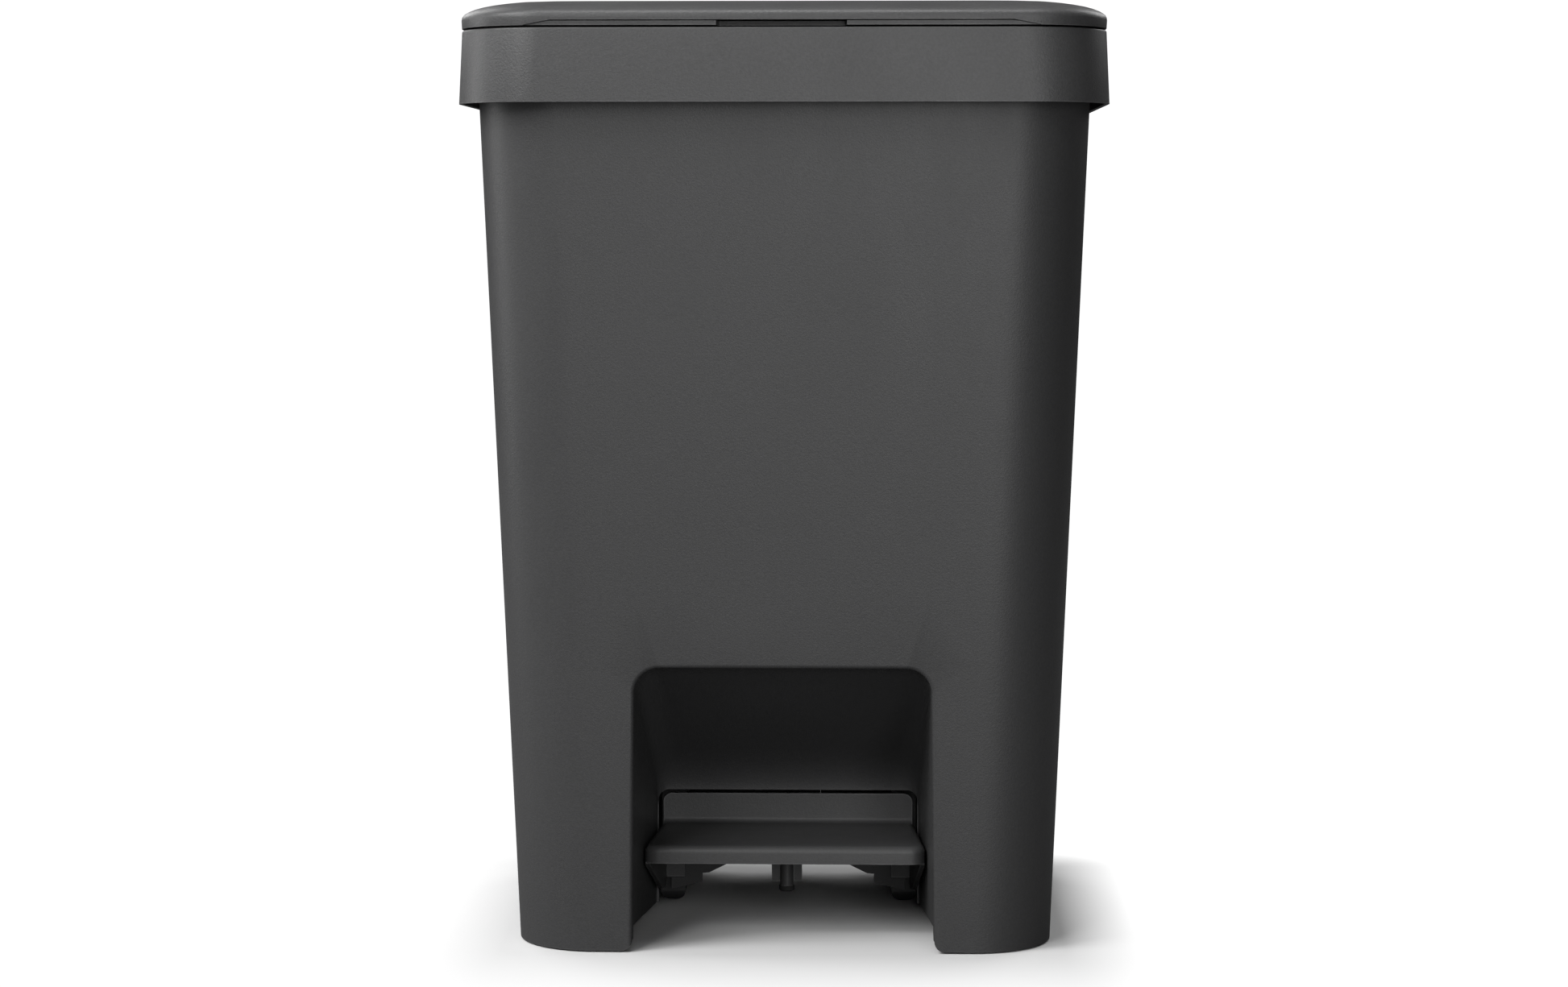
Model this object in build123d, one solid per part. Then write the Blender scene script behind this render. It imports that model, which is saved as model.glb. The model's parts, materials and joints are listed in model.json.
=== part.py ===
from build123d import *

import os

# Pedal bin, millimetres. +Z is up, the front (pedal side) faces -Y, +X is the bin's left-to-right
# width seen from the front. The origin is on the floor, under the centre of the bin.

# ---- overall -------------------------------------------------------------------------------
FLOOR_GAP = 0.8            # moulded walls stop this far above the floor, the rubber pads reach it
WALL = 2.6                 # moulded wall of the tub
RUN = 0.4                  # clearance between pieces that move past each other
FIT = 0.06                 # radial clearance of a shaft that turns in its hole

# ---- tub -----------------------------------------------------------------------------------
TUB_TOP = 500.1
TUB_FOOT_HALF_X = 148.4    # half width on the floor
TUB_FOOT_FRONT = -119.0
TUB_FOOT_REAR = 128.0
DRAFT_X = 0.0386           # how much each wall leans out per millimetre of height
DRAFT_FRONT = 0.0374
DRAFT_REAR = 0.0184
CORNER_FRONT = 45.0
CORNER_REAR = 32.0
FLOOR_Z = 75.0             # upper face of the inside floor
UNDER_Z = FLOOR_Z - WALL   # lower face of the inside floor

# ---- foot niche ----------------------------------------------------------------------------
NICHE_BACK = -8.0
NICHE_HALF_FRONT = 83.1
NICHE_HALF_BACK = 76.5
NICHE_SIDE_DRAFT = 0.0160
NICHE_CORNER = 14.0
NICHE_ROOF = [(-160, 158.0), (-118, 158.0), (-106, 152.5), (-64, 124.5), (-26, 98.5), (-16, 90.0),
              (-10.5, 83.0), (NICHE_BACK, 75.5)]
NICHE_EDGE = 2.4           # rounding where the niche meets the front wall
POCKET_HALF = 75.0
POCKET_TOP = 71.5
POCKET_CORNER = 6.0
LEG_CORNER = 6.0           # rounding of the front legs' inner corners, at the floor
REAR_ARCH_HALF = 72.0     # gap under the back wall
REAR_ARCH_TOP = 28.0
REAR_ARCH_CORNER = 12.0
# lower edge of the niche's side walls, as (y, z) points
NICHE_SKIRT = [(-114.0, -1.0), (-114.0, 14.3), (-4.0, 4.6), (-4.0, -1.0)]

# ---- push rod and its channel on the back ----------------------------------------------------
ROD_Y = 109.0
ROD_RADIUS = 3.0
CHANNEL_HALF = 17.0
CHANNEL_FRONT = 101.5
COVER_LOW = 36.0
COVER_HIGH = 461.0
SEAM_GROOVE = 0.7          # bevel along the cover's long edges
GUIDE_HEIGHTS = {"rod_guide_lower": 110.0, "rod_guide_upper": 400.0}
GUIDE_LENGTH = 14.0

# ---- pedal -----------------------------------------------------------------------------------
AXLE_Y = 33.5
AXLE_Z = 32.0
AXLE_RADIUS = 3.0
AXLE_HALF = 76.0
TREAD_TOP = 52.2
TREAD_THICK = 3.0
PEDAL_WALL = 2.6
PEDAL_CORNER = 8.0          # front corners seen from above
LIP_ROUND = 4.0             # rolled top edge of the lip
CREASE_ROUND = 3.0          # between the tread and the upright
PEDAL_FRONT = -82.0
PEDAL_BACK = -4.0
PEDAL_HALF_FRONT = 79.0
PEDAL_HALF_BACK = 73.0
LIP_BOTTOM = 42.2
UPRIGHT_TOP = 69.2
UPRIGHT_HALF = 72.2
POST_Y = -30.0
POST_BOTTOM = 20.0
STOP_BOTTOM = 17.0
LEVER_PLATE_Y = -3.6
LEVER_TAIL_END = 116.0
LEVER_TOP = 38.0
ARM_INNER = 50.4
ARM_OUTER = 59.6
BRACKET_X = 67.5
BRACKET_HALF = 7.2
CLIP_BOTTOM = 3.0
CLIP_FRONT = 6.0
CLIP_CORNER = 6.5
CLIP_SCREW_Y = (25.0, 42.0)
PEDAL_SCREW_X = (-30.0, 30.0)
PEDAL_SCREW_Z = 57.0

# ---- rim band and lid ------------------------------------------------------------------------
RIM_BOTTOM = 463.5
RIM_TOP = 503.0
RIM_HALF_LOW = 176.4
RIM_HALF_HIGH = 174.6
RIM_Y_LOW = 146.0
RIM_Y_HIGH = 144.2
RIM_WALL = 2.5
MOUTH_HALF = 148.0
MOUTH_FRONT = -120.0
MOUTH_REAR = 96.0
MOUTH_CORNER = 30.0
COLLAR_DEPTH = 22.0
LID_HALF = 174.8
LID_Y = 144.4
LID_CORNER_FRONT = 45.5
LID_CORNER_REAR = 32.0
LID_BOTTOM = 503.9
LID_WALL = 2.2
# crown of the lid: how far in from the edge, and how high
CROWN = [(0.25, LID_BOTTOM), (0.0, 508.4), (0.25, 509.8), (0.9, 511.0), (2.0, 511.9), (4.0, 513.0),
         (7.0, 514.2), (11.0, 515.3), (16.0, 516.3), (22.0, 517.2), (30.0, 518.1), (40.0, 519.0),
         (52.0, 519.8), (66.0, 520.4), (84.0, 521.0), (110.0, 521.3)]
HINGE_Y = 122.0
HINGE_Z = 510.0
BARREL_RADIUS = 6.0
BARREL_HALF = 161.0
HINGE_COVER_FRONT = 8.2    # how far behind the hinge line the fixed strip starts
PIN_RADIUS = 2.0
LUG_X = 120.0
LUG_HALF = 4.0
ARCH_HALF = 137.0          # the raised part of the lid's front edge
ARCH_Z = 506.8
ARCH_SLOPE = 14.0          # length of the ramp at each end of the raised part
NOTCH_HALF = 35.5
NOTCH_DEPTH = 12.0
BELOW_LID = LID_BOTTOM - 15
ABOVE = 540.0              # higher than any piece, for cuts that run out of the top
PUSH_PAD_BOTTOM = 503.6
HINGE_SCREW_X = (-100.0, 0.0, 100.0)
HINGE_SCREW_Y = 136.0
BUFFER_POINTS = ((-156.0, -108.0), (156.0, -108.0))

# ---- ends of the push rod, and the rubber feet -------------------------------------------------
ROD_LOW = LEVER_TOP + 8
HEAD_TOP = PUSH_PAD_BOTTOM - RUN
HEAD_RADIUS = 3.6
FOOT_RADIUS = 4.2
FOOT_POINTS = {
    "foot_pad_front_left": (-113.0, -84.0),
    "foot_pad_front_right": (113.0, -84.0),
    "foot_pad_rear_left": (-108.0, 92.0),
    "foot_pad_rear_right": (108.0, 92.0),
}


def outline(half_x, front, rear, corner_front, corner_rear, z):
    """Rounded rectangle at one height, with its own corner radii at the front and the rear."""
    face = Face.make_rect(2 * half_x, rear - front, Plane((0, (front + rear) / 2, z)))
    face = face.fillet_2d(corner_front, face.vertices().group_by(Axis.Y)[0])
    return face.fillet_2d(corner_rear, face.vertices().group_by(Axis.Y)[-1])


def tub_section(z, inset):
    return outline(
        TUB_FOOT_HALF_X + DRAFT_X * z - inset,
        TUB_FOOT_FRONT - DRAFT_FRONT * z + inset,
        TUB_FOOT_REAR + DRAFT_REAR * z - inset,
        CORNER_FRONT - inset,
        CORNER_REAR - inset,
        z,
    )


def tub_block(low, high, inset):
    """The tapered inside or outside of the tub between two heights."""
    return loft([tub_section(low, inset), tub_section(high, inset)], ruled=True)


def tub_rear(z):
    return TUB_FOOT_REAR + DRAFT_REAR * z


def span(low, high):
    """Axis-aligned block between two corners."""
    size = [b - a for a, b in zip(low, high)]
    centre = [(a + b) / 2 for a, b in zip(low, high)]
    return Pos(*centre) * Box(*size)


def mirrored(solid):
    return solid + mirror(solid, about=Plane.YZ)


def rod_z(x, y, low, high, radius):
    """Upright round bar."""
    return Pos(x, y, (low + high) / 2) * Cylinder(radius, high - low)


def rod_x(low, high, y, z, radius):
    """Round bar along the width."""
    return Pos((low + high) / 2, y, z) * Rot(0, 90, 0) * Cylinder(radius, high - low)


def rod_y(x, low, high, z, radius):
    """Round bar from front to back."""
    return Pos(x, (low + high) / 2, z) * Rot(90, 0, 0) * Cylinder(radius, high - low)


def side_plate(points, x_low, x_high):
    """A plate cut to a side-view outline of (y, z) points."""
    face = make_face(Polyline(*[(x_low, y, z) for y, z in points], close=True))
    return extrude(face, x_high - x_low, dir=(1, 0, 0))


# ---- tub ---------------------------------------------------------------------------------------
def niche_section(y, roof, grow):
    reach = (y - TUB_FOOT_FRONT) / (NICHE_BACK - TUB_FOOT_FRONT)
    low_half = NICHE_HALF_FRONT + reach * (NICHE_HALF_BACK - NICHE_HALF_FRONT) + grow
    high_half = low_half - NICHE_SIDE_DRAFT * roof
    corners = [(-low_half, y, -5), (-high_half, y, roof + grow), (high_half, y, roof + grow),
               (low_half, y, -5)]
    face = make_face(Polyline(*corners, close=True)).face()
    return face.fillet_2d(NICHE_CORNER + grow, face.vertices().group_by(Axis.Z)[-1])


def niche_block(grow):
    """The foot niche, or with grow the niche and the wall round it."""
    sections = [niche_section(y + (grow if y > -120 else 0), roof, grow) for y, roof in NICHE_ROOF]
    return loft(sections, ruled=True)


def foot_bosses():
    bosses = Part()
    for x, y in FOOT_POINTS.values():
        bosses += rod_z(x, y, FLOOR_GAP, UNDER_Z + 1, 12.0)
        bosses -= rod_z(x, y, 4.0, UNDER_Z, 9.6)
        bosses -= rod_z(x, y, 0, 5, 4.05)
        bosses -= rod_z(x, y, 0, 2.2, 10.2)
    return bosses


def bearing_blocks():
    """Blocks under the floor that hold the upper half of the pedal's axle."""
    block = span((BRACKET_X - BRACKET_HALF, 20, AXLE_Z), (BRACKET_X + BRACKET_HALF, 47, UNDER_Z + 1))
    for y in CLIP_SCREW_Y:
        block -= rod_z(BRACKET_X, y, 0, 46, 1.5)
    return mirrored(block)


def niche_mouth_edges(shell):
    """Edges where the niche cuts the front wall."""
    edges = []
    for edge in shell.edges():
        centre = edge.center()
        wall_y = TUB_FOOT_FRONT - DRAFT_FRONT * centre.Z
        if abs(centre.Y - wall_y) < 1 and abs(centre.X) < NICHE_HALF_FRONT + 3 and 3 < centre.Z < 160:
            edges.append(edge)
    return edges


def pedal_pocket():
    """Opening in the niche's back wall that the pedal's upright stands in."""
    pocket = span((-POCKET_HALF, NICHE_BACK - 4, -1), (POCKET_HALF, NICHE_BACK + 8, POCKET_TOP))
    return fillet(pocket.edges().filter_by(Axis.Y).group_by(Axis.Z)[-1], POCKET_CORNER)


def rear_arch():
    arch = span((-REAR_ARCH_HALF, 110, -20), (REAR_ARCH_HALF, 150, REAR_ARCH_TOP))
    return fillet(arch.edges().filter_by(Axis.Y), REAR_ARCH_CORNER)


def leg_corners():
    """Waste outside the rounding of the front legs' inner corners."""
    x, z = NICHE_HALF_FRONT + LEG_CORNER, FLOOR_GAP + LEG_CORNER
    waste = span((NICHE_HALF_FRONT - 4, -135, -1), (x, -110, z)) - rod_y(x, -136, -109, z, LEG_CORNER)
    return mirrored(waste)


def body_shell():
    channel = span((-CHANNEL_HALF - WALL, CHANNEL_FRONT, UNDER_Z), (CHANNEL_HALF + WALL, 160, ABOVE))
    inside = tub_block(FLOOR_Z, TUB_TOP + 6, WALL) - niche_block(WALL) - channel
    under = tub_block(-1, UNDER_Z, WALL) - niche_block(WALL)
    shell = tub_block(FLOOR_GAP, TUB_TOP, 0) - inside - under - niche_block(0)
    shell = fillet(niche_mouth_edges(shell), NICHE_EDGE)
    shell -= pedal_pocket()
    shell -= mirrored(side_plate(NICHE_SKIRT, 68, NICHE_HALF_FRONT + WALL + 0.6))
    shell -= span((-CHANNEL_HALF, CHANNEL_FRONT + WALL, -1), (CHANNEL_HALF, 160, ABOVE))
    shell -= rear_arch() + leg_corners()
    shell += foot_bosses() + bearing_blocks()
    shell -= rod_x(-90, 90, AXLE_Y, AXLE_Z, AXLE_RADIUS)
    return shell


def rear_cover():
    """Strip that closes the rod's channel, flush with the back wall."""
    half = CHANNEL_HALF - 0.05

    def strip(low, high, outer, inner, half_x):
        faces = []
        for z in (low, high):
            rear = tub_rear(z)
            plane = Plane((0, rear - (outer + inner) / 2, z))
            faces.append(Face.make_rect(2 * half_x, inner - outer, plane))
        return loft(faces, ruled=True)

    cover = strip(COVER_LOW, COVER_HIGH, 0, WALL, half)
    long_edges = sorted((e for e in cover.edges() if e.length > 100), key=lambda e: e.center().Y)
    cover = chamfer(long_edges[-2:], SEAM_GROOVE)
    ribs = strip(COVER_LOW + 8, COVER_HIGH - 8, WALL, WALL + 4, half)
    ribs -= strip(COVER_LOW + 7, COVER_HIGH - 7, WALL, WALL + 5, half - 1.8)
    for z in GUIDE_HEIGHTS.values():
        ribs -= span((-30, 90, z - GUIDE_LENGTH / 2 - 1), (30, 150, z + GUIDE_LENGTH / 2 + 1))
    cover += ribs
    for z in GUIDE_HEIGHTS.values():
        cover -= rod_y(0, 100, 150, z, 1.7)
        cover -= rod_y(0, tub_rear(z) - 1.6, 150, z, 3.6)
    return cover


def rod_guide(z):
    """Block in the channel that keeps the push rod straight and takes the cover's screw."""
    low, high = z - GUIDE_LENGTH / 2, z + GUIDE_LENGTH / 2
    back = tub_rear(low) - WALL - 0.3
    guide = span((-CHANNEL_HALF + 0.2, CHANNEL_FRONT + WALL + 0.2, low), (CHANNEL_HALF - 0.2, back, high))
    guide -= rod_z(0, ROD_Y, low - 1, high + 1, ROD_RADIUS + RUN)
    guide -= rod_y(0, ROD_Y + 6, 150, z, 1.5)
    for x in (-11, 11):
        guide -= span((x - 3, ROD_Y + 2, low - 1), (x + 3, back - 3, high + 1))
    return guide


def cover_screws():
    screws = Part()
    for z in GUIDE_HEIGHTS.values():
        face = tub_rear(z) - 0.4
        screws += rod_y(0, face - 1.2, face, z, 3.4)
        screws += rod_y(0, face - 14, face - 1.2, z, 1.5)
        screws -= span((-2.6, face - 0.6, z - 0.4), (2.6, face + 1, z + 0.4))
    return screws


def foot_pad(x, y):
    pad = rod_z(x, y, 0, 2.0, 10.0) + rod_z(x, y, 2.0, 6.5, 4.0)
    return fillet(pad.edges().group_by(Axis.Z)[0], 0.6)


def axle_clip(side):
    """Cap that holds the axle up against its bearing block."""
    x = side * BRACKET_X
    clip = span((x - BRACKET_HALF, CLIP_FRONT, CLIP_BOTTOM), (x + BRACKET_HALF, 47, AXLE_Z - 0.2))
    clip = fillet(clip.edges().group_by(Axis.Z)[0], CLIP_CORNER)
    clip -= rod_x(-90, 90, AXLE_Y, AXLE_Z, AXLE_RADIUS)
    for y in CLIP_SCREW_Y:
        clip -= rod_z(x, y, 0, 40, 1.6)
        clip -= rod_z(x, y, 0, 24.2, 3.2)
    return clip


def clip_screws():
    screws = Part()
    for x in (-BRACKET_X, BRACKET_X):
        for y in CLIP_SCREW_Y:
            screws += rod_z(x, y, 22.2, 24.2, 3.0) + rod_z(x, y, 24.2, 42, 1.5)
            screws -= span((x - 2.4, y - 0.4, 20), (x + 2.4, y + 0.4, 23))
            screws -= span((x - 0.4, y - 2.4, 20), (x + 0.4, y + 2.4, 23))
    return screws


def pedal_axle():
    return rod_x(-AXLE_HALF, AXLE_HALF, AXLE_Y, AXLE_Z, AXLE_RADIUS)


# ---- pedal -------------------------------------------------------------------------------------
def pedal_plan(z, height, inset):
    """The pedal's outline from above, wider at its rounded front, as a block."""
    plan = [(-PEDAL_HALF_FRONT, PEDAL_FRONT), (PEDAL_HALF_FRONT, PEDAL_FRONT),
            (PEDAL_HALF_BACK, PEDAL_BACK), (-PEDAL_HALF_BACK, PEDAL_BACK)]
    face = make_face(Polyline(*[(x, y, z) for x, y in plan], close=True)).face()
    face = face.fillet_2d(PEDAL_CORNER, face.vertices().group_by(Axis.Y)[0])
    if inset:
        face = offset(face, -inset)
    return extrude(face, height)


def pedal_cheeks():
    """Side walls that run down and back from the ends of the lip."""
    outline_yz = [(PEDAL_FRONT + 5, TREAD_TOP - TREAD_THICK), (PEDAL_FRONT + 6, 41), (-22, 16),
                  (-10, 14.5), (-5, 22), (-5, TREAD_TOP - TREAD_THICK)]
    ring = pedal_plan(10, 45, 0) - pedal_plan(9, 47, PEDAL_WALL)
    return mirrored(ring & side_plate(outline_yz, 60, 90))


def pedal_post():
    """Stop post under the tread, with its stiffening web."""
    low = TREAD_TOP - TREAD_THICK
    post = rod_z(0, POST_Y, POST_BOTTOM, low + 0.5, 3.8)
    post += span((-8.7, POST_Y + 1, POST_BOTTOM + 2), (8.7, POST_Y + 3, low + 0.5))
    return post - rod_z(0, POST_Y, 0, POST_BOTTOM + 8, 1.6)


def pedal():
    """Wide tread with a rolled front lip, an upright at its back and deep side cheeks."""
    low, high = TREAD_TOP - TREAD_THICK, TREAD_TOP
    block = pedal_plan(LIP_BOTTOM, high - LIP_BOTTOM, 0)
    top_front = block.edges().group_by(Axis.Z)[-1].filter_by(GeomType.LINE).group_by(Axis.Y)[0]
    block = fillet(top_front, LIP_ROUND)
    block -= pedal_plan(LIP_BOTTOM - 1, low - LIP_BOTTOM + 1, PEDAL_WALL)
    block -= span((-PEDAL_HALF_BACK + PEDAL_WALL, -12, 20), (PEDAL_HALF_BACK - PEDAL_WALL, 10, low))

    upright = span((-UPRIGHT_HALF, PEDAL_BACK - 3, low), (UPRIGHT_HALF, PEDAL_BACK, UPRIGHT_TOP))
    upright = fillet(upright.edges().filter_by(Axis.Y).group_by(Axis.Z)[-1], 5)
    ribs = Part()
    for x in (-35, 35):
        ribs += span((x - 1, PEDAL_FRONT + 2, LIP_BOTTOM + 1.5), (x + 1, PEDAL_BACK - 1, low + 0.5))
    body = block + upright
    crease = [e for e in body.edges()
              if abs(e.center().Z - high) < 0.05 and abs(e.center().Y - PEDAL_BACK + 3) < 0.05]
    body = fillet(crease, CREASE_ROUND)
    body += pedal_cheeks() + pedal_post() + ribs
    for x in PEDAL_SCREW_X:
        body -= rod_y(x, PEDAL_BACK - 2.2, 20, PEDAL_SCREW_Z, 1.5)
    return body


def pedal_lever():
    """Frame behind the pedal: fork arms on the axle, and the tail that lifts the push rod."""
    front, back = LEVER_PLATE_Y, LEVER_PLATE_Y + 3
    edge = [(-72.5, 62), (-72.5, 31), (-68, 28), (-68, 11.8), (-50, 16.2), (-50, 21.5), (-46, 21.8),
            (-35, 27.2)]
    edge = edge + [(-x, z) for x, z in reversed(edge)]
    plate = make_face(Polyline(*[(x, front, z) for x, z in edge], close=True))
    plate = extrude(plate, back - front, dir=(0, 1, 0))
    arm = [(front, 16.2), (2, 16.2), (AXLE_Y - 3, AXLE_Z - 8), (AXLE_Y + 4, AXLE_Z - 7),
           (AXLE_Y + 4, AXLE_Z + 7), (AXLE_Y - 3, AXLE_Z + 8), (back, 58), (front, 58)]
    boss = rod_x(ARM_INNER, ARM_OUTER, AXLE_Y, AXLE_Z, 8)
    arms = mirrored(side_plate(arm, ARM_INNER, ARM_OUTER) + boss)
    beam = [(back - 1, 28), (LEVER_TAIL_END, 27), (LEVER_TAIL_END, LEVER_TOP), (60, LEVER_TOP + 3),
            (AXLE_Y, AXLE_Z + 8), (back - 1, 46)]
    tail = side_plate(beam, -7, 7) + rod_x(-9, 9, AXLE_Y, AXLE_Z, 8)
    tail += rod_x(-ARM_INNER - 1, ARM_INNER + 1, AXLE_Y, AXLE_Z, 5.2)
    lever = plate + arms + tail
    lever -= rod_x(-90, 90, AXLE_Y, AXLE_Z, AXLE_RADIUS + FIT)
    for x in PEDAL_SCREW_X:
        lever -= rod_y(x, -20, 20, PEDAL_SCREW_Z, 1.6)
    return lever


def pedal_screws():
    screws = Part()
    back = LEVER_PLATE_Y + 3
    for x in PEDAL_SCREW_X:
        screws += rod_y(x, PEDAL_BACK - 1.8, back, PEDAL_SCREW_Z, 1.5)
        screws += rod_y(x, back, back + 2, PEDAL_SCREW_Z, 3.2)
        screws -= span((x - 2.5, back + 1.2, PEDAL_SCREW_Z - 0.4), (x + 2.5, back + 3, PEDAL_SCREW_Z + 0.4))
    return screws


def pedal_stop():
    """Rubber plug under the pedal's post, which lands on the floor."""
    plug = rod_z(0, POST_Y, STOP_BOTTOM, POST_BOTTOM, 4.4)
    plug += rod_z(0, POST_Y, POST_BOTTOM, POST_BOTTOM + 7, 1.6)
    return fillet(plug.edges().group_by(Axis.Z)[0], 1)


# ---- push rod ----------------------------------------------------------------------------------
def push_rod():
    return rod_z(0, ROD_Y, ROD_LOW, HEAD_TOP - 6, ROD_RADIUS)


def capped(radius, low, high, ball_z):
    """Round cap with one ball end."""
    return rod_z(0, ROD_Y, low, high, radius) + Pos(0, ROD_Y, ball_z) * Sphere(radius)


def rod_foot():
    low = LEVER_TOP + 0.6 + FOOT_RADIUS
    foot = capped(FOOT_RADIUS, low, low + 14, low)
    return foot - rod_z(0, ROD_Y, ROD_LOW, low + 20, ROD_RADIUS)


def rod_head():
    high = HEAD_TOP - HEAD_RADIUS
    head = capped(HEAD_RADIUS, high - 12, high, high)
    return head - rod_z(0, ROD_Y, high - 20, HEAD_TOP - 6, ROD_RADIUS)


# ---- rim ---------------------------------------------------------------------------------------
def rim_section(z, inset):
    reach = (z - RIM_BOTTOM) / (RIM_TOP - RIM_BOTTOM)
    half = RIM_HALF_LOW + reach * (RIM_HALF_HIGH - RIM_HALF_LOW) - inset
    depth = RIM_Y_LOW + reach * (RIM_Y_HIGH - RIM_Y_LOW) - inset
    return outline(half, -depth, depth, LID_CORNER_FRONT + 1 - inset, LID_CORNER_REAR + 1 - inset, z)


def rim_block(low, high, inset):
    return loft([rim_section(low, inset), rim_section(high, inset)], ruled=True)


def mouth_block(low, high, grow):
    face = outline(MOUTH_HALF + grow, MOUTH_FRONT - grow, MOUTH_REAR + grow,
                   MOUTH_CORNER + grow, MOUTH_CORNER + grow, low)
    return extrude(face, high - low)


def rim_frame():
    """Band that hangs over the tub's edge, its top plate, and the collar that holds the bag."""
    plate_low = TUB_TOP + RUN
    rim = rim_block(RIM_BOTTOM, RIM_TOP, 0) - rim_block(RIM_BOTTOM - 1, plate_low, RIM_WALL)
    rim = fillet(rim.edges().group_by(Axis.Z)[-1], 1.0)
    rim += mouth_block(plate_low - COLLAR_DEPTH, plate_low + 1, RIM_WALL)
    rim -= mouth_block(plate_low - COLLAR_DEPTH - 1, RIM_TOP + 1, 0)
    rim -= rod_z(0, ROD_Y, RIM_TOP - 20, ABOVE, HEAD_RADIUS + 0.9)
    for x in HINGE_SCREW_X:
        rim -= rod_z(x, HINGE_SCREW_Y, RIM_TOP - 20, ABOVE, 1.6)
    return rim


def crown_block(inset, drop):
    """Solid crown of the lid, or with inset and drop the hollow under it."""
    sections = []
    for edge, z in CROWN:
        step = edge + inset
        front = max(LID_CORNER_FRONT - step, LID_CORNER_FRONT - 30)
        rear = max(LID_CORNER_REAR - step, LID_CORNER_REAR - 20)
        sections.append(outline(LID_HALF - step, -LID_Y + step, LID_Y - step, front, rear, z - drop))
    return loft(sections, ruled=True)


def lid_lug_slot(x, half):
    return span((x - half, HINGE_Y - 7, BELOW_LID), (x + half, HINGE_Y + 8, ABOVE))


def lid_plan(inset, low, high):
    """Upright block with the lid's outline, drawn in by inset."""
    face = outline(LID_HALF - inset, -LID_Y + inset, LID_Y - inset,
                   LID_CORNER_FRONT - inset, LID_CORNER_REAR - inset, low)
    return extrude(face, high - low)


def lid_front_arch(gap):
    """The raised part of the lid's front edge, with a ramp at each end."""
    half = ARCH_HALF - gap
    edge = [(-half, BELOW_LID), (-half, LID_BOTTOM + 0.3), (-half + ARCH_SLOPE, ARCH_Z - gap),
            (half - ARCH_SLOPE, ARCH_Z - gap), (half, LID_BOTTOM + 0.3), (half, BELOW_LID)]
    face = make_face(Polyline(*[(x, -200, z) for x, z in edge], close=True))
    return extrude(face, 100, dir=(0, 1, 0))


def lid_cover():
    """Outer skin of the lid, with the hinge barrel along its rear edge."""
    lid = crown_block(0, 0)
    lid -= span((-200, HINGE_Y, BELOW_LID), (200, 200, ABOVE))
    hollow = crown_block(LID_WALL, LID_WALL) - span((-200, HINGE_Y - 9, BELOW_LID), (200, 200, ABOVE))
    lid -= hollow
    lid -= lid_plan(LID_WALL, BELOW_LID, ARCH_Z) - span((-200, HINGE_Y - 9, 0), (200, 200, ABOVE))
    lid += rod_x(-BARREL_HALF, BARREL_HALF, HINGE_Y, HINGE_Z, BARREL_RADIUS)
    lid -= lid_front_arch(0)
    lid -= span((-200, HINGE_Y - 9.2, BELOW_LID), (200, HINGE_Y - 4.5, LID_BOTTOM + 0.1))
    for x in (-LUG_X, LUG_X):
        lid -= lid_lug_slot(x, LUG_HALF + RUN)
        lid -= rod_x(x - 16, x + 16, HINGE_Y, HINGE_Z, PIN_RADIUS + FIT)
    lid -= rod_z(0, ROD_Y, BELOW_LID, PUSH_PAD_BOTTOM + 4.8, 5.4)
    return lid


def lid_inner_panel():
    """Flat liner under the lid, whose front edge shows and holds the finger notch."""
    low, high = LID_BOTTOM + 0.1, ARCH_Z - 0.2
    panel = lid_plan(LID_WALL + 0.3, low, high)
    panel += lid_plan(1.0, low, high) & lid_front_arch(0.4)
    panel -= span((-200, HINGE_Y - 9.4, BELOW_LID), (200, 200, ABOVE))
    back = -LID_Y + NOTCH_DEPTH
    notch = [(-NOTCH_HALF, -150), (NOTCH_HALF, -150), (NOTCH_HALF - 2, back), (-NOTCH_HALF + 2, back)]
    notch = make_face(Polyline(*[(x, y, low - 1) for x, y in notch], close=True))
    panel -= extrude(notch, high - low + 2)
    panel -= rod_z(0, ROD_Y, BELOW_LID, ABOVE, 5.05)
    for x, y in BUFFER_POINTS:
        panel -= rod_z(x, y, BELOW_LID, ABOVE, 2.5)
    return panel


def lid_buffers():
    buffers = Part()
    for x, y in BUFFER_POINTS:
        buffers += rod_z(x, y, RIM_TOP + RUN, LID_BOTTOM + 0.1, 5)
        buffers += rod_z(x, y, LID_BOTTOM + 0.1, LID_BOTTOM + 2.4, 2.5)
    return buffers


def lid_push_pad():
    """Hard pad in the lid that the push rod's head lifts."""
    return rod_z(0, ROD_Y, PUSH_PAD_BOTTOM, PUSH_PAD_BOTTOM + 4.3, 5.0)


def hinge_cover():
    """Fixed strip behind the lid that completes its crown and carries the hinge lugs."""
    front = HINGE_Y + HINGE_COVER_FRONT
    base = RIM_TOP + 0.1
    foot = outline(LID_HALF - 0.25, -LID_Y, LID_Y - 0.25, LID_CORNER_FRONT, LID_CORNER_REAR, base)
    strip = crown_block(0, 0) + extrude(foot, LID_BOTTOM - base)
    strip &= span((-200, front, base), (200, 200, ABOVE))
    for x in (-LUG_X, LUG_X):
        lug = rod_x(x - LUG_HALF, x + LUG_HALF, HINGE_Y, HINGE_Z, 4.6)
        lug += span((x - LUG_HALF, HINGE_Y, HINGE_Z - 4.6), (x + LUG_HALF, front + 2, HINGE_Z + 1.5))
        strip += lug - rod_x(x - 16, x + 16, HINGE_Y, HINGE_Z, PIN_RADIUS)
    for x in HINGE_SCREW_X:
        strip -= rod_z(x, HINGE_SCREW_Y, BELOW_LID, LID_BOTTOM + 5.4, 1.5)
    return strip


def hinge_pin(x):
    return rod_x(x - 14, x + 14, HINGE_Y, HINGE_Z, PIN_RADIUS)


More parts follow.
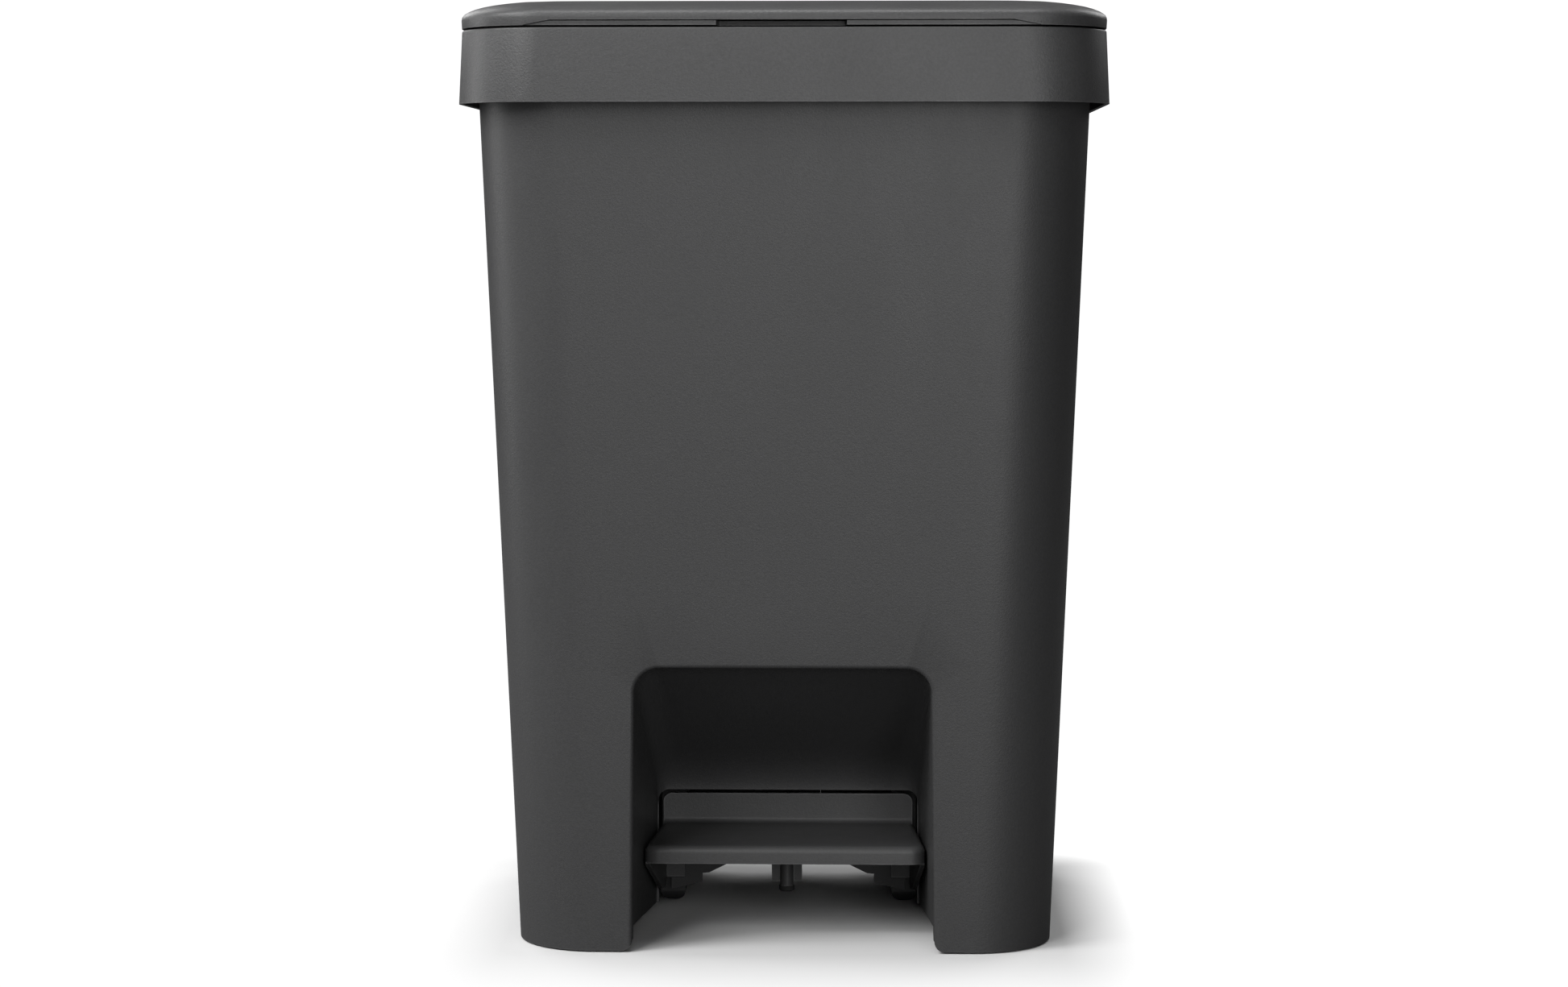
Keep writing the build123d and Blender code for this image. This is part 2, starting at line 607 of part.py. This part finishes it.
def hinge_screws():
    screws = Part()
    for x in HINGE_SCREW_X:
        low = TUB_TOP + RUN - 0.2
        screws += rod_z(x, HINGE_SCREW_Y, low, LID_BOTTOM + 4.4, 1.5)
    return screws


def build():
    nodes = {
        "body_shell": body_shell(),
        "rear_cover": rear_cover(),
        "cover_screws": cover_screws(),
        "axle_clip_left": axle_clip(-1),
        "axle_clip_right": axle_clip(1),
        "clip_screws": clip_screws(),
        "pedal_axle": pedal_axle(),
        "pedal": pedal(),
        "pedal_lever": pedal_lever(),
        "pedal_screws": pedal_screws(),
        "pedal_stop": pedal_stop(),
        "push_rod": push_rod(),
        "rod_foot": rod_foot(),
        "rod_head": rod_head(),
        "rim_frame": rim_frame(),
        "hinge_cover": hinge_cover(),
        "hinge_pin_left": hinge_pin(-LUG_X),
        "hinge_pin_right": hinge_pin(LUG_X),
        "hinge_screws": hinge_screws(),
        "lid_cover": lid_cover(),
        "lid_inner_panel": lid_inner_panel(),
        "lid_buffers": lid_buffers(),
        "lid_push_pad": lid_push_pad(),
    }
    for name, z in GUIDE_HEIGHTS.items():
        nodes[name] = rod_guide(z)
    for name, (x, y) in FOOT_POINTS.items():
        nodes[name] = foot_pad(x, y)
    return nodes


os.makedirs("parts", exist_ok=True)
for name, shape in build().items():
    export_step(shape, "parts/" + name + ".step")
    print(name, len(shape.solids()), round(shape.volume))
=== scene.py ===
import json
import math

import bmesh
import bpy
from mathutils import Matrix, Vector


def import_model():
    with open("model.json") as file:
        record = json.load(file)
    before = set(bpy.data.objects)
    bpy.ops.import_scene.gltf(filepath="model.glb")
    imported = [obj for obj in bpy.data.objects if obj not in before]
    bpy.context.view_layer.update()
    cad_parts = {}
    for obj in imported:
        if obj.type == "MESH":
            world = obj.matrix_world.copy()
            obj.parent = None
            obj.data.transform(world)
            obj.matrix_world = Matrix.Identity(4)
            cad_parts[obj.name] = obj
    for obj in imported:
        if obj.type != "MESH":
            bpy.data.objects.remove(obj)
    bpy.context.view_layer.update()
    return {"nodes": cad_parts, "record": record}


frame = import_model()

NODES = frame["nodes"]

WHITE = (1.0, 1.0, 1.0, 1.0)
SHARP_EDGE = math.radians(28)     # mesh edges bent further than this stay sharp
WELD_DISTANCE = 0.000002
CLOUD_CONTRAST = 0.05             # lighter and darker flow clouds in moulded plastic
SPECK_CONTRAST = 0.16             # lighter and darker specks of its grain
WEAR_AND_HIGHLIGHT_RADIUS = 0.0013              # width of the band along an edge that is lightened, as rub wear and as a painted highlight
EDGE_ROUNDING = 0.0005            # radius that moulded edges are shaded with
ZINC = (0.52, 0.52, 0.51)
DULL_ZINC = (0.33, 0.31, 0.28)
EVEN_GRAIN = (1.0, 1.0, 1.0)
GRAIN_ALONG_X = (0.03, 1.0, 1.0)
GRAIN_ALONG_Z = (1.0, 1.0, 0.03)
FLOOR_RADIUS = 40.0
FLOOR_GREY = (0.7, 0.7, 0.7, 1.0)
FOOTPRINT_X = 0.15                # half the width of floor that the bin shades
FOOTPRINT_FRONT = 0.105
FOOTPRINT_BACK = 0.125
FADE_BESIDE = 2.6                 # the shading fades this much faster beside and behind the bin
FADE_AHEAD = 0.85
FADE_START = 0.015                # distance where the floor starts to turn plain white
FADE_END = 0.13
FLOOR_BOUNCE = 0.12               # how much light the floor sends back up onto the bin
SURROUND = 1.05                   # how bright the white surroundings look to the camera
WORLD_LIGHT = 0.012               # how much light they send onto the bin
LIGHT_DISTANCE = 2.7
LIGHT_AIM = Vector((0.0, 0.0, 0.28))
CAMERA_PLACE = (0.048, -1.926, 0.405)
CAMERA_YAW = math.radians(-1.5)
CAMERA_PITCH = math.radians(4.8)
CAMERA_LENS = 76.8


# ---- node helpers --------------------------------------------------------------------------
class Maker:
    """Builds one material's node tree."""

    def __init__(self, name):
        self.mat = bpy.data.materials.new(name)
        self.mat.use_nodes = True
        self.tree = self.mat.node_tree
        self.tree.nodes.clear()
        self.out = self.add("ShaderNodeOutputMaterial")
        self.bsdf = self.add("ShaderNodeBsdfPrincipled")
        self.link(self.bsdf, "BSDF", self.out, "Surface")
        self.coord = self.add("ShaderNodeTexCoord")

    def add(self, kind, **values):
        node = self.tree.nodes.new(kind)
        for key, value in values.items():
            if hasattr(node, key):
                setattr(node, key, value)
            else:
                node.inputs[key.replace("_", " ")].default_value = value
        return node

    def link(self, a, out, b, into):
        self.tree.links.new(a.outputs[out], b.inputs[into])

    def noise(self, scale, detail=3.0, rough=0.55, stretch=None):
        tex = self.add("ShaderNodeTexNoise")
        tex.inputs["Scale"].default_value = scale
        tex.inputs["Detail"].default_value = detail
        tex.inputs["Roughness"].default_value = rough
        if stretch:
            mapping = self.add("ShaderNodeMapping")
            mapping.inputs["Scale"].default_value = stretch
            self.link(self.coord, "Object", mapping, "Vector")
            self.link(mapping, "Vector", tex, "Vector")
        else:
            self.link(self.coord, "Object", tex, "Vector")
        return tex

    def ramp(self, source, out, low, high, dark=0.0, bright=1.0):
        """Stretches one span of a value to dark..bright."""
        node = self.add("ShaderNodeMapRange")
        node.inputs["From Min"].default_value = low
        node.inputs["From Max"].default_value = high
        node.inputs["To Min"].default_value = dark
        node.inputs["To Max"].default_value = bright
        self.link(source, out, node, "Value")
        return node

    def math(self, kind, a, b, clamp=False):
        """a and b are nodes (first output) or numbers."""
        node = self.add("ShaderNodeMath")
        node.operation = kind
        node.use_clamp = clamp
        for i, value in enumerate((a, b)):
            if isinstance(value, (int, float)):
                node.inputs[i].default_value = value
            else:
                self.tree.links.new(value.outputs[0], node.inputs[i])
        return node

    def mix(self, factor, a, b):
        """Colour mix; a and b are colours or nodes whose first output is a colour."""
        node = self.add("ShaderNodeMix")
        node.data_type = "RGBA"
        self.tree.links.new(factor.outputs[0], node.inputs["Factor"])
        for socket, value in ((node.inputs[6], a), (node.inputs[7], b)):
            if isinstance(value, tuple):
                socket.default_value = (*value, 1.0)
            else:
                self.tree.links.new(value.outputs[2 if value.bl_idname == "ShaderNodeMix" else 0], socket)
        return node

    def edges(self, radius):
        """1 on edges, 0 on flats, broken up by noise: the mask for rub wear and for a painted highlight
        along edges.
        """
        bevel = self.add("ShaderNodeBevel", samples=6)
        bevel.inputs["Radius"].default_value = radius
        geo = self.add("ShaderNodeNewGeometry")
        dot = self.add("ShaderNodeVectorMath", operation="DOT_PRODUCT")
        self.link(bevel, "Normal", dot, 0)
        self.link(geo, "Normal", dot, 1)
        sharp = self.ramp(dot, "Value", 0.995, 0.86)
        patchy = self.ramp(self.noise(55.0, 5.0, 0.65), "Fac", 0.28, 0.62)
        return self.math("MULTIPLY", sharp, patchy, clamp=True)


def tinted(colour, factor):
    return tuple(c * factor for c in colour)


def moulded(name, colour, rough, grain=0.9, wear_and_highlight=0.35):
    """Matt moulded plastic: spark-eroded grain, faint flow clouding, rounded edges lightened both as rub
    wear and as a painted highlight.
    """
    m = Maker(name)
    cloud = m.ramp(m.noise(5.5, 4.0, 0.6), "Fac", 0.3, 0.7)
    speck = m.ramp(m.noise(700.0, 2.0, 0.5), "Fac", 0.3, 0.7)
    tone = m.mix(cloud, tinted(colour, 1.0 - CLOUD_CONTRAST), tinted(colour, 1.0 + CLOUD_CONTRAST))
    contrast = SPECK_CONTRAST * grain
    fine = m.mix(speck, tinted(colour, 1.0 - contrast), tinted(colour, 1.0 + contrast))
    both = m.add("ShaderNodeMix")
    both.data_type = "RGBA"
    both.inputs["Factor"].default_value = 0.5
    m.link(tone, 2, both, 6)
    m.link(fine, 2, both, 7)
    # edges are painted lighter: partly rub wear, partly a painted highlight along them
    edge = m.math("MULTIPLY", m.edges(WEAR_AND_HIGHLIGHT_RADIUS), wear_and_highlight)
    wear_and_highlight_colour = m.mix(edge, both, tuple(min(1.0, c * 2.4 + 0.04) for c in colour))
    m.link(wear_and_highlight_colour, 2, m.bsdf, "Base Color")
    scuff = m.ramp(m.noise(26.0, 6.0, 0.7, (1.0, 1.0, 0.35)), "Fac", 0.35, 0.75, rough - 0.04, rough + 0.05)
    gloss = m.math("SUBTRACT", scuff, m.math("MULTIPLY", edge, 0.16))
    m.link(gloss, "Value", m.bsdf, "Roughness")
    rounded = m.add("ShaderNodeBevel", samples=4)
    rounded.inputs["Radius"].default_value = EDGE_ROUNDING
    broad = m.add("ShaderNodeBump")
    broad.inputs["Strength"].default_value = 0.5
    broad.inputs["Distance"].default_value = 0.00015
    m.link(rounded, "Normal", broad, "Normal")
    m.link(m.noise(38.0, 2.0, 0.5), "Fac", broad, "Height")
    bump = m.add("ShaderNodeBump")
    bump.inputs["Strength"].default_value = 0.8
    bump.inputs["Distance"].default_value = 0.00015 * grain
    m.link(m.noise(1100.0, 2.0, 0.6), "Fac", bump, "Height")
    m.link(broad, "Normal", bump, "Normal")
    m.link(bump, "Normal", m.bsdf, "Normal")
    m.bsdf.inputs["Specular IOR Level"].default_value = 0.45
    return m.mat


def rubber(name):
    """Matt black rubber with a little grey dust."""
    m = Maker(name)
    dust = m.ramp(m.noise(90.0, 6.0, 0.7), "Fac", 0.45, 0.75)
    colour = m.mix(dust, (0.012, 0.012, 0.012), (0.04, 0.039, 0.037))
    m.link(colour, 2, m.bsdf, "Base Color")
    m.link(m.ramp(m.noise(240.0, 3.0), "Fac", 0.3, 0.7, 0.72, 0.92), "Result", m.bsdf, "Roughness")
    bump = m.add("ShaderNodeBump")
    bump.inputs["Strength"].default_value = 0.5
    bump.inputs["Distance"].default_value = 0.0001
    m.link(m.noise(1100.0, 3.0), "Fac", bump, "Height")
    m.link(bump, "Normal", m.bsdf, "Normal")
    return m.mat


def zinc_steel(name, stretch):
    """Zinc-plated steel with drawn lines along its length and a few dull spots."""
    m = Maker(name)
    lines = m.noise(900.0, 3.0, 0.6, stretch)
    spots = m.ramp(m.noise(140.0, 5.0, 0.7), "Fac", 0.55, 0.75)
    colour = m.mix(spots, ZINC, DULL_ZINC)
    m.link(colour, 2, m.bsdf, "Base Color")
    m.bsdf.inputs["Metallic"].default_value = 1.0
    m.link(m.ramp(lines, "Fac", 0.3, 0.7, 0.24, 0.42), "Result", m.bsdf, "Roughness")
    bump = m.add("ShaderNodeBump")
    bump.inputs["Strength"].default_value = 0.35
    bump.inputs["Distance"].default_value = 0.00003
    m.link(lines, "Fac", bump, "Height")
    m.link(bump, "Normal", m.bsdf, "Normal")
    return m.mat


# ---- materials -----------------------------------------------------------------------------
# the last number of each moulded plastic sets how much its edges are painted lighter, as rub wear and as a
# painted highlight
MATERIALS = {
    "moulded_plastic": moulded("tub_plastic", (0.055, 0.055, 0.056), 0.45, grain=0.9, wear_and_highlight=0.5),
    "lid_plastic": moulded("lid_plastic", (0.058, 0.058, 0.059), 0.43, grain=1.3, wear_and_highlight=0.8),
    "pedal_plastic": moulded("pedal_plastic", (0.066, 0.066, 0.067), 0.46, grain=0.7, wear_and_highlight=0.9),
    "mechanism_plastic": moulded("mechanism_plastic", (0.022, 0.022, 0.023), 0.42, grain=0.4, wear_and_highlight=0.4),
    "rubber": rubber("pad_rubber"),
    "steel": zinc_steel("zinc_steel", EVEN_GRAIN),
}


def smooth_shading(sharp):
    """Node group that welds a CAD mesh and shades it smooth, except across edges bent past sharp."""
    group = bpy.data.node_groups.new("smooth_by_angle", "GeometryNodeTree")
    group.interface.new_socket("Geometry", in_out="INPUT", socket_type="NodeSocketGeometry")
    group.interface.new_socket("Geometry", in_out="OUTPUT", socket_type="NodeSocketGeometry")
    make = group.nodes.new
    start, end = make("NodeGroupInput"), make("NodeGroupOutput")
    plain = make("GeometryNodeRemoveAttribute")
    plain.inputs["Name"].default_value = "custom_normal"
    weld = make("GeometryNodeMergeByDistance")
    weld.inputs["Distance"].default_value = WELD_DISTANCE
    faces = make("GeometryNodeSetShadeSmooth")
    creases = make("GeometryNodeSetShadeSmooth")
    creases.domain = "EDGE"
    creases.inputs["Shade Smooth"].default_value = False
    angle = make("GeometryNodeInputMeshEdgeAngle")
    bent = make("FunctionNodeCompare")
    bent.operation = "GREATER_THAN"
    bent.inputs["B"].default_value = sharp
    chain = (start, plain, weld, faces, creases, end)
    for before, after in zip(chain, chain[1:]):
        group.links.new(before.outputs[0], after.inputs[0])
    group.links.new(angle.outputs["Unsigned Angle"], bent.inputs["A"])
    group.links.new(bent.outputs[0], creases.inputs["Selection"])
    return group


LENGTHWISE = {"pedal_axle": GRAIN_ALONG_X, "push_rod": GRAIN_ALONG_Z}


def dress_nodes():
    """Gives every CAD node its shading and its material; drawn steel has lines along its length."""
    smoothing = smooth_shading(SHARP_EDGE)
    for part in frame["record"]["subparts"]:
        name = part["node"]
        node = NODES[name]
        node.data.materials.clear()
        node.modifiers.new("smooth", "NODES").node_group = smoothing
        if name in LENGTHWISE:
            node.data.materials.append(zinc_steel(name + "_steel", LENGTHWISE[name]))
        else:
            node.data.materials.append(MATERIALS[part["material_slot"]])


# ---- floor, light and camera ---------------------------------------------------------------
def footprint_distance(m):
    """How far a point of the floor is from the bin, counted faster beside and behind it than ahead."""
    split = m.add("ShaderNodeSeparateXYZ")
    m.link(m.coord, "Object", split, 0)
    squares = []
    beside = ((-FADE_BESIDE, FOOTPRINT_X), (FADE_BESIDE, FOOTPRINT_X))
    lengthwise = ((-FADE_AHEAD, FOOTPRINT_FRONT), (FADE_BESIDE, FOOTPRINT_BACK))
    for axis, sides in (("X", beside), ("Y", lengthwise)):
        reaches = []
        for rate, half in sides:
            scaled = m.add("ShaderNodeMath", operation="MULTIPLY")
            m.link(split, axis, scaled, 0)
            scaled.inputs[1].default_value = rate
            reaches.append(m.math("SUBTRACT", scaled, half * abs(rate)))
        past = m.math("MAXIMUM", m.math("MAXIMUM", *reaches), 0.0)
        squares.append(m.math("MULTIPLY", past, past))
    return m.math("SQRT", m.math("ADD", *squares), 0.0)


def floor():
    """Pale floor that fades to plain white away from the bin and throws little light back at it."""
    mesh = bpy.data.meshes.new("floor")
    bm = bmesh.new()
    bmesh.ops.create_circle(bm, cap_ends=True, radius=FLOOR_RADIUS, segments=96)
    bm.to_mesh(mesh)
    bm.free()
    obj = bpy.data.objects.new("floor", mesh)
    bpy.context.scene.collection.objects.link(obj)
    m = Maker("pale_floor")
    m.bsdf.inputs["Base Color"].default_value = FLOOR_GREY
    m.bsdf.inputs["Roughness"].default_value = 0.8
    m.bsdf.inputs["Specular IOR Level"].default_value = 0.1
    glow = m.add("ShaderNodeEmission")
    glow.inputs["Color"].default_value = WHITE
    glow.inputs["Strength"].default_value = SURROUND
    fade = m.ramp(footprint_distance(m), "Value", FADE_START, FADE_END)
    path = m.add("ShaderNodeLightPath")
    seen = m.math("MULTIPLY", fade, path)
    blend = m.add("ShaderNodeMixShader")
    m.link(seen, "Value", blend, 0)
    m.link(m.bsdf, "BSDF", blend, 1)
    m.link(glow, "Emission", blend, 2)
    bounce = m.add("ShaderNodeBsdfDiffuse")
    bounce.inputs["Color"].default_value = (FLOOR_BOUNCE, FLOOR_BOUNCE, FLOOR_BOUNCE, 1.0)
    either = m.add("ShaderNodeMixShader")
    m.link(path, "Is Camera Ray", either, 0)
    m.link(bounce, "BSDF", either, 1)
    m.link(blend, "Shader", either, 2)
    m.link(either, "Shader", m.out, "Surface")
    mesh.materials.append(m.mat)


def softbox(name, around, up, watts, width=0.55, height=1.3):
    """Soft light aimed at the bin, placed by its angle from the front (towards +X) and its height."""
    turn, lift = math.radians(around), math.radians(up)
    way = Vector((math.sin(turn) * math.cos(lift), -math.cos(turn) * math.cos(lift), math.sin(lift)))
    data = bpy.data.lights.new(name, "AREA")
    data.shape = "RECTANGLE"
    data.size = width
    data.size_y = height
    data.energy = watts
    obj = bpy.data.objects.new(name, data)
    obj.location = LIGHT_AIM + way * LIGHT_DISTANCE
    obj.rotation_euler = (-way).to_track_quat("-Z", "Y").to_euler()
    obj.visible_camera = False
    bpy.context.scene.collection.objects.link(obj)


def world():
    """White surroundings, dimmer as a source of light than they look."""
    w = bpy.data.worlds.new("studio")
    w.use_nodes = True
    tree = w.node_tree
    tree.nodes.clear()
    out = tree.nodes.new("ShaderNodeOutputWorld")
    mix = tree.nodes.new("ShaderNodeMixShader")
    seen = tree.nodes.new("ShaderNodeBackground")
    lit = tree.nodes.new("ShaderNodeBackground")
    path = tree.nodes.new("ShaderNodeLightPath")
    seen.inputs["Strength"].default_value = SURROUND
    seen.inputs["Color"].default_value = WHITE
    lit.inputs["Strength"].default_value = WORLD_LIGHT
    lit.inputs["Color"].default_value = WHITE
    tree.links.new(path.outputs["Is Camera Ray"], mix.inputs[0])
    tree.links.new(lit.outputs[0], mix.inputs[1])
    tree.links.new(seen.outputs[0], mix.inputs[2])
    tree.links.new(mix.outputs[0], out.inputs[0])
    bpy.context.scene.world = w


def camera():
    """Long lens in front of the bin, level with its upper half and tilted a little down."""
    data = bpy.data.cameras.new("camera")
    data.lens = CAMERA_LENS
    data.sensor_width = 36.0
    data.clip_end = 100.0
    obj = bpy.data.objects.new("camera", data)
    level = math.cos(CAMERA_PITCH)
    ahead = Vector((math.sin(CAMERA_YAW) * level, math.cos(CAMERA_YAW) * level, -math.sin(CAMERA_PITCH)))
    obj.location = CAMERA_PLACE
    obj.rotation_euler = ahead.to_track_quat("-Z", "Y").to_euler()
    bpy.context.scene.collection.objects.link(obj)
    bpy.context.scene.camera = obj


dress_nodes()
floor()
world()
softbox("left_edge_strip", -98, 12, 14)
softbox("left_low_strip", -68, 32, 17)
softbox("left_high_strip", -52, 52, 34)
softbox("front_left_strip", -38, 28, 11)
softbox("front_strip", -24, 32, 17)
softbox("low_middle_strip", 4, 8, 8)
softbox("low_right_strip", 18, 8, 10)
softbox("top_softbox", 0, 86, 30, 1.2, 1.2)
softbox("back_left_softbox", -140, 30, 25, 1.4, 1.4)
softbox("back_right_softbox", 140, 30, 20, 1.2, 1.2)
camera()
bpy.context.scene.view_settings.view_transform = "Standard"
bpy.context.scene.view_settings.look = "None"
